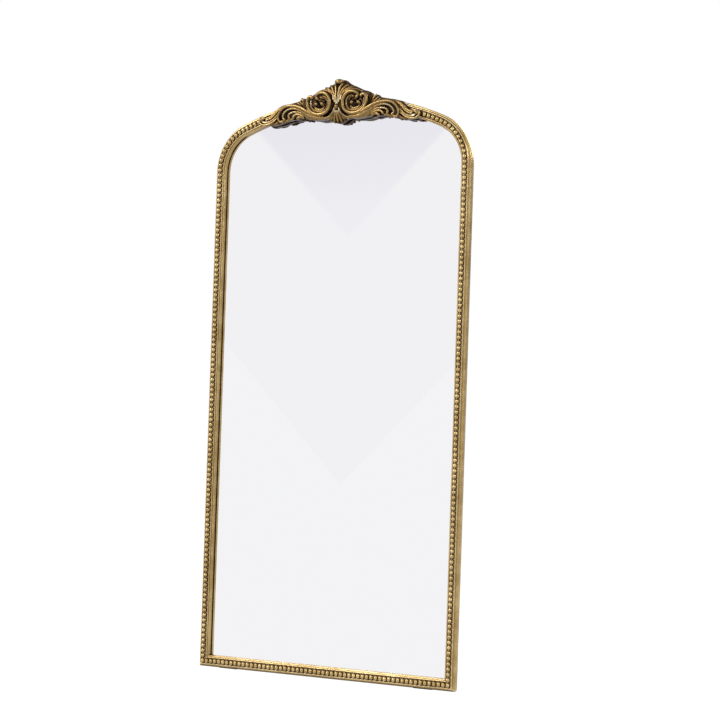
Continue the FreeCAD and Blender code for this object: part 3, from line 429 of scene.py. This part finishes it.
def hardboard(look):
    """Brown pressed fibreboard with scattered fibres."""
    material, tree = new_material("fibreboard")
    place = tree.place()
    fibres = tree.noise(tree.stretched(place, (1.0, 1.0, 0.22)), 900.0, 6.0, 0.75)
    blotch = tree.noise(place, 7.0, 4.0)
    strand = tree.node("ShaderNodeTexVoronoi", {"feature": "DISTANCE_TO_EDGE"},
                       {"Vector": tree.stretched(place, (1.0, 1.0, 0.35)), "Scale": 260.0,
                        "Randomness": 1.0})
    colour = tree.mix((fibres * 0.85 + blotch * 0.15).fade(0.35, 0.65), look.board_dark, look.board)
    colour = tree.mix(strand.fade(0.0, 0.06) * -0.35 + 0.35, colour, look.board_fibre)
    tree.surface(base_color=colour, roughness=0.72 + fibres * 0.15,
                 normal=tree.bump(fibres, 0.2 * MM, 0.6))
    return material


def beech(look):
    """Raw beech with its grain."""
    material, tree = new_material("beech")
    place = tree.place()
    grain = tree.noise(tree.stretched(place, (120.0, 120.0, 14.0)), 4.0, 5.0, 0.7)
    tree.surface(base_color=tree.mix(grain.fade(0.3, 0.7), look.timber_dark, look.beech),
                 roughness=0.5 + grain * 0.15, normal=tree.bump(grain, 0.1 * MM, 0.4))
    return material


def zinc(look):
    """Bright zinc plate with the mottled passivation of cheap ironmongery."""
    material, tree = new_material("zinc_plate")
    place = tree.place()
    bloom = tree.noise(place, 130.0, 5.0, 0.65)
    scratches = tree.noise(tree.stretched(place, (1.0, 1.0, 14.0)), 260.0, 3.0)
    hollow = tree.hollow(2.5 * MM)
    colour = tree.mix(bloom.fade(0.35, 0.65), look.zinc, look.zinc_warm)
    # Darker where the surface closes in round the screws and plates.
    colour = tree.mix(hollow.fade(0.3, 0.9) * 0.6, colour, look.hollow_dark)
    tree.surface(base_color=colour, metallic=0.95, roughness=0.28 + scratches * 0.18 + hollow * 0.2,
                 normal=tree.bump(scratches, 0.05 * MM, 0.35))
    return material


def rubber(look):
    """Matt rubber with a bloom of dust."""
    material, tree = new_material("soft_rubber")
    place = tree.place()
    pebble = tree.node("ShaderNodeTexVoronoi", None, {"Vector": place, "Scale": 1400.0})
    dust = tree.noise(place, 90.0, 5.0, 0.7)
    tree.surface(base_color=tree.mix(dust.fade(0.5, 0.8) * 0.5, look.rubber, look.dust),
                 roughness=0.62 + dust * 0.2, normal=tree.bump(pebble, 0.1 * MM, 0.4))
    return material


def dress(nodes, material):
    """Give CAD pieces their finish."""
    for name in nodes:
        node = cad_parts[name]
        put_on(node, material)


def put_on(piece, material):
    piece.data.materials.clear()
    piece.data.materials.append(material)


# ---- Carving ----

def select_only(*pieces):
    """Leave edit mode and select these pieces, the first of them active."""
    if bpy.context.object and bpy.context.object.mode != "OBJECT":
        bpy.ops.object.mode_set(mode="OBJECT")
    bpy.ops.object.select_all(action="DESELECT")
    for piece in pieces:
        piece.select_set(True)
    bpy.context.view_layer.objects.active = pieces[0]


def on_crest(x, rise, depth):
    """A point of the carving's tables, in the shared frame."""
    return Vector((x * MM, BEAD_PLANE_Y + depth * MM, CROWN_Z + rise * MM))


def mirrored(strokes):
    """The same strokes on the left half."""
    return [[(-x, *rest) for x, *rest in stroke] for stroke in strokes]


def both_halves(half):
    """The closed outline of which half is the right side."""
    return list(half) + [(-x, rise) for x, rise in reversed(half) if x > 0]


def carve_strokes(strokes):
    """One mesh of round, tapered rolls, each along a smooth line through its points."""
    bpy.ops.curve.primitive_bezier_curve_add(location=(0, 0, 0))
    curve = bpy.context.object.data
    curve.splines.clear()
    curve.dimensions = "3D"
    curve.resolution_u = 7
    curve.bevel_depth = MM
    curve.bevel_resolution = 3
    curve.use_fill_caps = True
    for stroke in strokes:
        spline = curve.splines.new("BEZIER")
        spline.bezier_points.add(len(stroke) - 1)
        for point, (x, rise, depth, radius) in zip(spline.bezier_points, stroke):
            point.co = on_crest(x, rise, depth)
            point.radius = radius
            point.handle_left_type = point.handle_right_type = "AUTO"
    rolls = bpy.context.object
    select_only(rolls)
    bpy.ops.object.convert(target="MESH")
    return bpy.context.object


def lump(x, rise, depth, half_sizes):
    """Egg-shaped boss."""
    bpy.ops.mesh.primitive_uv_sphere_add(segments=32, ring_count=20, radius=1.0,
                                         location=on_crest(x, rise, depth))
    boss = bpy.context.object
    boss.scale = [half * MM for half in half_sizes]
    bpy.ops.object.transform_apply(location=True, rotation=True, scale=True)
    return boss


def ends_of(strokes):
    """Round knobs on both ends of each stroke."""
    return [lump(x, rise, depth, (radius, radius, radius))
            for stroke in strokes for x, rise, depth, radius in (stroke[0], stroke[-1])]


def close_skin():
    """Weld the mesh that is being edited, face it outwards and leave it."""
    bpy.ops.mesh.select_all(action="SELECT")
    bpy.ops.mesh.remove_doubles(threshold=WELD)
    bpy.ops.mesh.normals_make_consistent(inside=False)
    bpy.ops.object.mode_set(mode="OBJECT")


def ground(outline, depth_from, depth_to):
    """Plate with a smooth outline, given by x and rise."""
    bpy.ops.curve.primitive_bezier_circle_add(location=(0, 0, 0))
    curve = bpy.context.object.data
    curve.splines.clear()
    curve.dimensions = "2D"
    curve.fill_mode = "BOTH"
    curve.resolution_u = 6
    curve.extrude = (depth_to - depth_from) / 2 * MM
    spline = curve.splines.new("BEZIER")
    spline.use_cyclic_u = True
    spline.bezier_points.add(len(outline) - 1)
    for point, (x, rise) in zip(spline.bezier_points, outline):
        point.co = (x * MM, rise * MM, 0.0)
        point.handle_left_type = point.handle_right_type = "AUTO"
    plate = bpy.context.object
    select_only(plate)
    bpy.ops.object.convert(target="MESH")
    plate = bpy.context.object
    turn = Matrix.Rotation(math.radians(90), 4, "X")
    plate.data.transform(Matrix.Translation(on_crest(0, 0, (depth_from + depth_to) / 2)) @ turn)
    bpy.ops.object.mode_set(mode="EDIT")
    close_skin()
    return plate


def apply_modifier(piece, kind, **settings):
    """Add a modifier of this kind and apply it at once."""
    select_only(piece)
    modifier = piece.modifiers.new(kind.title(), kind)
    for name, value in settings.items():
        setattr(modifier, name, value)
    bpy.ops.object.modifier_apply(modifier=modifier.name)


def seat_bar():
    """The bar of the moulding that the crest sits over, curved about the crown's centre."""
    inner, outer = CROWN_Z - SIGHT_IN - SEAT_GAP, CROWN_Z + EDGE_OUT + SEAT_GAP
    front, back = BEAD_PLANE_Y - SEAT_GAP, BEAD_PLANE_Y + FRAME_DEPTH + MM
    bpy.ops.mesh.primitive_plane_add(size=1.0, location=(0, 0, 0))
    bar = bpy.context.object
    corners = [(0, front, inner), (0, back, inner), (0, front, outer), (0, back, outer)]
    for vertex, corner in zip(bar.data.vertices, corners):
        vertex.co = corner
    sweep = 2 * math.asin(SEAT_REACH / CROWN_RADIUS)
    centre = (0, 0, CROWN_Z - CROWN_RADIUS)
    select_only(bar)
    bpy.ops.object.mode_set(mode="EDIT")
    bpy.ops.mesh.select_all(action="SELECT")
    bpy.ops.transform.rotate(value=sweep / 2, orient_axis="Y", center_override=centre)
    bpy.ops.mesh.spin(steps=SEAT_STEPS, angle=sweep, center=centre, axis=(0, 1, 0))
    close_skin()
    return bar


def slab_between(x_from, x_to):
    """Tall block between two places along x."""
    bpy.ops.mesh.primitive_cube_add(size=1.0, location=((x_from + x_to) / 2, 0, CROWN_Z))
    block = bpy.context.object
    block.scale = (abs(x_to - x_from), SLAB_DEPTH, SLAB_HEIGHT)
    bpy.ops.object.transform_apply(location=True, rotation=True, scale=True)
    return block


def carved(name, parts, voxel, cutters):
    """Fuse the parts into one closed skin, soften it as carving softens with wear, and cut its seats."""
    select_only(*parts)
    bpy.ops.object.join()
    piece = bpy.context.object
    piece.name = piece.data.name = name
    apply_modifier(piece, "REMESH", mode="VOXEL", voxel_size=voxel * MM, adaptivity=0.0)
    apply_modifier(piece, "SMOOTH", factor=0.5, iterations=2)
    for cutter in cutters:
        apply_modifier(piece, "BOOLEAN", operation="DIFFERENCE", object=cutter, solver="MANIFOLD")
        bpy.data.objects.remove(cutter)
    select_only(piece)
    bpy.ops.object.shade_smooth_by_angle(angle=WORN_EDGE)
    return piece


def finish_casting(piece, node):
    """Gild a carved piece and put it in the place of the plain casting."""
    put_on(piece, bpy.data.materials[CASTING_GILT])
    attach(piece, "frame")
    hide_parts(node)


# ---- Settings ----

def colour_setting(name, description, default):
    return bpy.props.FloatVectorProperty(name=name, description=description, subtype="COLOR",
                                         size=3, min=0.0, max=1.0, default=srgb(*default))


def length_setting(name, description, default):
    return bpy.props.FloatProperty(name=name, description=description, unit="LENGTH",
                                   min=0.0, default=default)


class GildingLook(bpy.types.PropertyGroup):
    gold: colour_setting("Gold", "Body colour of the gilding", (206, 179, 126))
    olive: colour_setting("Olive gold", "Darker clouds in the gilding", (170, 141, 88))
    # These two colours fill the hollows: painted shade together with the gilding's brown film, darkest
    # deepest.
    patina_and_shade: colour_setting("Patina", "Brown glaze left in the hollows", (86, 60, 25))
    deep_patina_and_shade: colour_setting("Crevice", "Dirt in the deepest hollows", (48, 32, 15))
    # Lightened edges: gilding wiped bright, and a painted highlight.
    rubbed_and_highlight: colour_setting("Rubbed gold", "High edges that were wiped bright", (240, 224, 184))
    timber: colour_setting("Timber", "Sealed wood on the back", (150, 116, 78))
    timber_dark: colour_setting("Timber grain", "Dark grain in the wood", (104, 76, 48))
    roughness: bpy.props.FloatProperty(name="Roughness", description="Of the open gilding",
                                       min=0.05, max=1.0, default=0.34)
    rub_and_highlight_reach: length_setting("Rubbed width", "Rolls and ridges up to this thick are rubbed", 6.0 * MM)
    # Darkens the whole crest, for its years and as painted shade of its relief.
    crest_age_and_shade: bpy.props.FloatProperty(name="Crest age", min=0.0, max=1.0, default=0.80,
                                       description="How much the crest has darkened")
    # Darkens the crest the further back it lies behind the bead plane.
    crest_set_back_dark: bpy.props.FloatProperty(name="Crest glaze", min=0.0, max=1.0, default=0.30,
                                         description="How much glaze lies low in the crest")


class GlassLook(bpy.types.PropertyGroup):
    silver: colour_setting("Silver", "The silvering low down", (243, 243, 245))
    # Colour of the painted reflection high in the glass.
    painted_reflection: colour_setting("Silver, high", "The silvering towards the top", (230, 229, 237))
    shadow: colour_setting("Edge shadow", "Shadow seen through the glass's edge", (44, 37, 29))
    edge: length_setting("Edge line", "Width of the shadow beside the stiles", 2.8 * MM)
    vee_middle: length_setting("Chevrons' middle", "Place of their points, from left to right", 0.03)
    vee_slope: bpy.props.FloatProperty(name="Chevrons' slope", min=0.0, default=0.95,
                                       description="Rise of their arms for each metre across")
    vee_low: length_setting("Lower chevron", "Height of the lower chevron's point", 0.545)
    vee_high: length_setting("Upper chevron", "Height of the upper chevron's point", 1.24)


class BackLook(bpy.types.PropertyGroup):
    board: colour_setting("Board", "Hardboard", (142, 104, 66))
    board_dark: colour_setting("Board, dark", "Dark fibres", (104, 72, 42))
    board_fibre: colour_setting("Board, pale", "Pale fibres", (178, 142, 98))
    beech: colour_setting("Beech", "Dowels and splines", (205, 166, 120))
    timber_dark: colour_setting("Beech grain", "Dark grain in the beech", (160, 118, 78))
    zinc: colour_setting("Zinc", "Screws and plates", (198, 201, 205))
    zinc_warm: colour_setting("Zinc, warm", "Warmer blooms on the plate", (190, 186, 174))
    # The colour the zinc takes where its surface closes in.
    hollow_dark: colour_setting("Grime", "Dirt round the screws", (58, 54, 48))
    rubber: colour_setting("Rubber", "Pads and blocks", (36, 36, 38))
    dust: colour_setting("Dust", "Bloom on the rubber", (92, 90, 88))


class CarvingSize(bpy.types.PropertyGroup):
    grain: bpy.props.FloatProperty(name="Voxel", description="Fineness of the carving in mm",
                                   min=0.5, max=3.0, default=0.9)


class StageLook(bpy.types.PropertyGroup):
    floor: colour_setting("Floor", "Studio floor and backdrop", (246, 246, 246))
    lens: bpy.props.FloatProperty(name="Lens", description="Focal length in mm", min=10.0,
                                  max=300.0, default=117.4)
    eye: bpy.props.FloatVectorProperty(name="Camera place", description="Where the camera stands",
                                       subtype="TRANSLATION", unit="LENGTH",
                                       default=(3.6704, -5.5633, 0.7317))
    turn: bpy.props.FloatProperty(name="Turn", description="Camera's turn to the left",
                                  subtype="ANGLE", default=math.radians(32.743))
    tilt: bpy.props.FloatProperty(name="Tilt", description="Camera's upward tilt",
                                  subtype="ANGLE", default=math.radians(-1.489))
    roll: bpy.props.FloatProperty(name="Roll", description="The mirror's lean in the picture",
                                  subtype="ANGLE", default=math.radians(1.930))


class FloorMirrorSettings(bpy.types.PropertyGroup):
    gilding: bpy.props.PointerProperty(type=GildingLook)
    glass: bpy.props.PointerProperty(type=GlassLook)
    back: bpy.props.PointerProperty(type=BackLook)
    carving: bpy.props.PointerProperty(type=CarvingSize)
    stage: bpy.props.PointerProperty(type=StageLook)


# ---- Operators ----

class GildMoulding(bpy.types.Operator):
    """Gild the stiles, the arch and the bottom rail"""
    bl_idname = "floor_mirror.gild_moulding"
    bl_label = "Gild Moulding"

    def execute(self, context):
        dress(GILT_WOOD, gilded_moulding(context.scene.floor_mirror.gilding))
        return {"FINISHED"}


class GildBeading(bpy.types.Operator):
    """Gild the bead strips"""
    bl_idname = "floor_mirror.gild_beading"
    bl_label = "Gild Beading"

    def execute(self, context):
        look = context.scene.floor_mirror.gilding
        gilt = gilding("antique_gilding_on_beading", look, depth_of_hollow=5.0 * MM, grain=700.0)
        dress(BEADING, gilt)
        return {"FINISHED"}


class CarveCrest(bpy.types.Operator):
    """Carve the palmette, its two volutes and the pendant shell"""
    bl_idname = "floor_mirror.carve_crest"
    bl_label = "Carve Crest"

    def execute(self, context):
        settings = context.scene.floor_mirror
        half = list(VOLUTE + PALMETTE + EDGE_ROLL + SHELL + APRON + ARM)
        strokes = half + mirrored(half) + list(MIDDLE)
        parts = [carve_strokes(strokes)] + ends_of(strokes)
        parts += [ground(both_halves(CENTRE_GROUND), *CENTRE_GROUND_DEPTHS),
                  ground(both_halves(CENTRE_BACK), *CENTRE_BACK_DEPTHS)]
        parts += [lump(*boss) for boss in (LOBE, HOOD, BOSS)]
        cutters = [seat_bar(), slab_between(JOINT_X, FAR), slab_between(-JOINT_X, -FAR)]
        crest = carved("carved_crest_centre", parts, settings.carving.grain, cutters)
        finish_casting(crest, "crest_centre")
        return {"FINISHED"}


class CarveWings(bpy.types.Operator):
    """Carve the two wings that trail along the crown"""
    bl_idname = "floor_mirror.carve_wings"
    bl_label = "Carve Wings"

    def execute(self, context):
        settings = context.scene.floor_mirror
        curl_x, *curl_place, curl_sizes = CURL
        for side, sign in (("right", 1), ("left", -1)):
            strokes = ARM + WING + TAIL + SPRIG
            if sign < 0:
                strokes = mirrored(strokes)
            parts = [carve_strokes(strokes)] + ends_of(strokes)
            outline = [(sign * x, rise) for x, rise in WING_GROUND]
            parts += [ground(outline, *WING_GROUND_DEPTHS), lump(sign * curl_x, *curl_place, curl_sizes)]
            cutters = [seat_bar(), slab_between(sign * (JOINT_X + JOINT_GAP), -sign * FAR)]
            wing = carved("carved_crest_wing_" + side, parts, settings.carving.grain, cutters)
            finish_casting(wing, "crest_wing_" + side)
        return {"FINISHED"}


class MixCastingFinish(bpy.types.Operator):
    """Make the gilding that the carved pieces share"""
    bl_idname = "floor_mirror.mix_casting_finish"
    bl_label = "Mix Casting Finish"

    def execute(self, context):
        look = context.scene.floor_mirror.gilding
        gilding(CASTING_GILT, look, depth_of_hollow=16.0 * MM, grain=620.0, age_and_shade=look.crest_age_and_shade,
                glaze=look.crest_set_back_dark)
        return {"FINISHED"}


class SilverGlass(bpy.types.Operator):
    """Silver the glass"""
    bl_idname = "floor_mirror.silver_glass"
    bl_label = "Silver Glass"

    def execute(self, context):
        dress(("mirror_glass",), silvering(context.scene.floor_mirror.glass))
        return {"FINISHED"}


class FinishBack(bpy.types.Operator):
    """Finish the backing board, the joinery, the ironmongery and the rubber pads"""
    bl_idname = "floor_mirror.finish_back"
    bl_label = "Finish Back"

    def execute(self, context):
        look = context.scene.floor_mirror.back
        dress(("backing_board",), hardboard(look))
        dress(BEECH, beech(look))
        dress(STEEL, zinc(look))
        dress(RUBBER, rubber(look))
        return {"FINISHED"}


class SetStage(bpy.types.Operator):
    """Lay the floor, light the studio and place the camera"""
    bl_idname = "floor_mirror.set_stage"
    bl_label = "Set Stage"

    def execute(self, context):
        look = context.scene.floor_mirror.stage
        context.scene.view_settings.view_transform = "Standard"
        lay_floor(look)
        light_world(context.scene)
        for lamp in LAMPS:
            hang_lamp(*lamp)
        place_camera(context.scene, look)
        return {"FINISHED"}


def plain_rays(tree):
    """1 for rays from the camera, and then 1 for rays from a mirror or through glass."""
    path = tree.node("ShaderNodeLightPath", output="Is Camera Ray")
    glossy = Value(tree, path.socket.node.outputs["Is Glossy Ray"])
    through = Value(tree, path.socket.node.outputs["Is Transmission Ray"])
    return path, glossy.most(through)


def lay_floor(look):
    """A floor without an end, plain to the camera but for the mirror's shadow."""
    bpy.ops.mesh.primitive_plane_add(size=FLOOR_SIZE, location=(0, 0, 0))
    floor = bpy.context.object
    floor.name = "studio_floor"
    material, tree = new_material("studio_floor")
    camera, mirrored_ray = plain_rays(tree)
    lit = tree.node("ShaderNodeBsdfDiffuse", None, {"Color": (*look.floor, 1.0)})
    plain = tree.node("ShaderNodeEmission", None, {"Color": WHITE, "Strength": 1.0})
    pale = tree.node("ShaderNodeEmission", None, {"Color": WHITE, "Strength": FLOOR_GLOW})
    seen = tree.node("ShaderNodeMixShader", None, (FLOOR_SHADE, pale, lit))
    shown = tree.node("ShaderNodeMixShader", None, (camera, lit, seen))
    shown = tree.node("ShaderNodeMixShader", None, (mirrored_ray, shown, plain))
    tree.node("ShaderNodeOutputMaterial", None, {"Surface": shown})
    floor.data.materials.append(material)


def light_world(scene):
    """A white backdrop, soft light, and a room that is paler on one side for reflections."""
    world = bpy.data.worlds.new("studio")
    scene.world = world
    tree = NodeTree(world)
    camera, mirrored_ray = plain_rays(tree)
    x, y = tree.axes(tree.node("ShaderNodeTexCoord", output="Generated"))[:2]
    room = (x * BRIGHT_SIDE[0] + y * BRIGHT_SIDE[1]).fade(-0.4, 0.75) * WALL_BRIGHT + WALL_DIM
    soft, walls, plain = (tree.node("ShaderNodeBackground", None, {"Color": WHITE, "Strength": light})
                          for light in (SOFT_LIGHT, room, 1.0))
    shown = tree.node("ShaderNodeMixShader", None, (mirrored_ray, soft, walls))
    shown = tree.node("ShaderNodeMixShader", None, (camera, shown, plain))
    tree.node("ShaderNodeOutputWorld", None, {"Surface": shown})


def hang_lamp(place, power, width):
    """A soft lamp that faces the mirror."""
    bpy.ops.object.light_add(type="AREA", location=place)
    lamp = bpy.context.object
    lamp.data.energy = power
    lamp.data.size = width
    aim = Vector(LAMPS_AIM) - Vector(place)
    lamp.rotation_euler = aim.to_track_quat("-Z", "Y").to_euler()


def place_camera(scene, look):
    """The camera at the photo's angle, rolled by as much as the mirror leans in the picture."""
    bpy.ops.object.camera_add(location=look.eye)
    camera = bpy.context.object
    camera.data.lens = look.lens
    camera.data.sensor_width = 36.0
    upright = Matrix(((1, 0, 0), (0, 0, -1), (0, 1, 0)))
    seen = (Matrix.Rotation(look.roll, 3, "Z") @ Matrix.Rotation(look.tilt, 3, "X") @ upright
            @ Matrix.Rotation(-look.turn, 3, "Z"))
    camera.rotation_euler = (seen.transposed() @ Matrix.Diagonal((1, -1, -1))).to_euler()
    scene.camera = camera


class FloorMirrorPanel(bpy.types.Panel):
    """Lists the steps in the order in which they are made"""
    bl_idname = "VIEW3D_PT_floor_mirror"
    bl_label = "Crested Floor Mirror"
    bl_space_type = "VIEW_3D"
    bl_region_type = "UI"
    bl_category = "Floor Mirror"

    def draw(self, context):
        for step in STEPS:
            self.layout.operator(step.bl_idname)
        settings = context.scene.floor_mirror
        for group in ("gilding", "glass", "back", "carving", "stage"):
            box = self.layout.box()
            box.label(text=group.title())
            for name in getattr(settings, group).__annotations__:
                box.prop(getattr(settings, group), name)


GROUPS = (GildingLook, GlassLook, BackLook, CarvingSize, StageLook, FloorMirrorSettings)
STEPS = (GildMoulding, GildBeading, MixCastingFinish, CarveCrest, CarveWings, SilverGlass, FinishBack,
         SetStage)


def register():
    for kind in (*GROUPS, *STEPS, FloorMirrorPanel):
        bpy.utils.register_class(kind)
    bpy.types.Scene.floor_mirror = bpy.props.PointerProperty(type=FloorMirrorSettings)


def unregister():
    del bpy.types.Scene.floor_mirror
    for kind in reversed((*GROUPS, *STEPS, FloorMirrorPanel)):
        bpy.utils.unregister_class(kind)


def main():
    register()
    for step in STEPS:
        group, name = step.bl_idname.split(".")
        getattr(getattr(bpy.ops, group), name)()


if __name__ == "__main__":
    main()
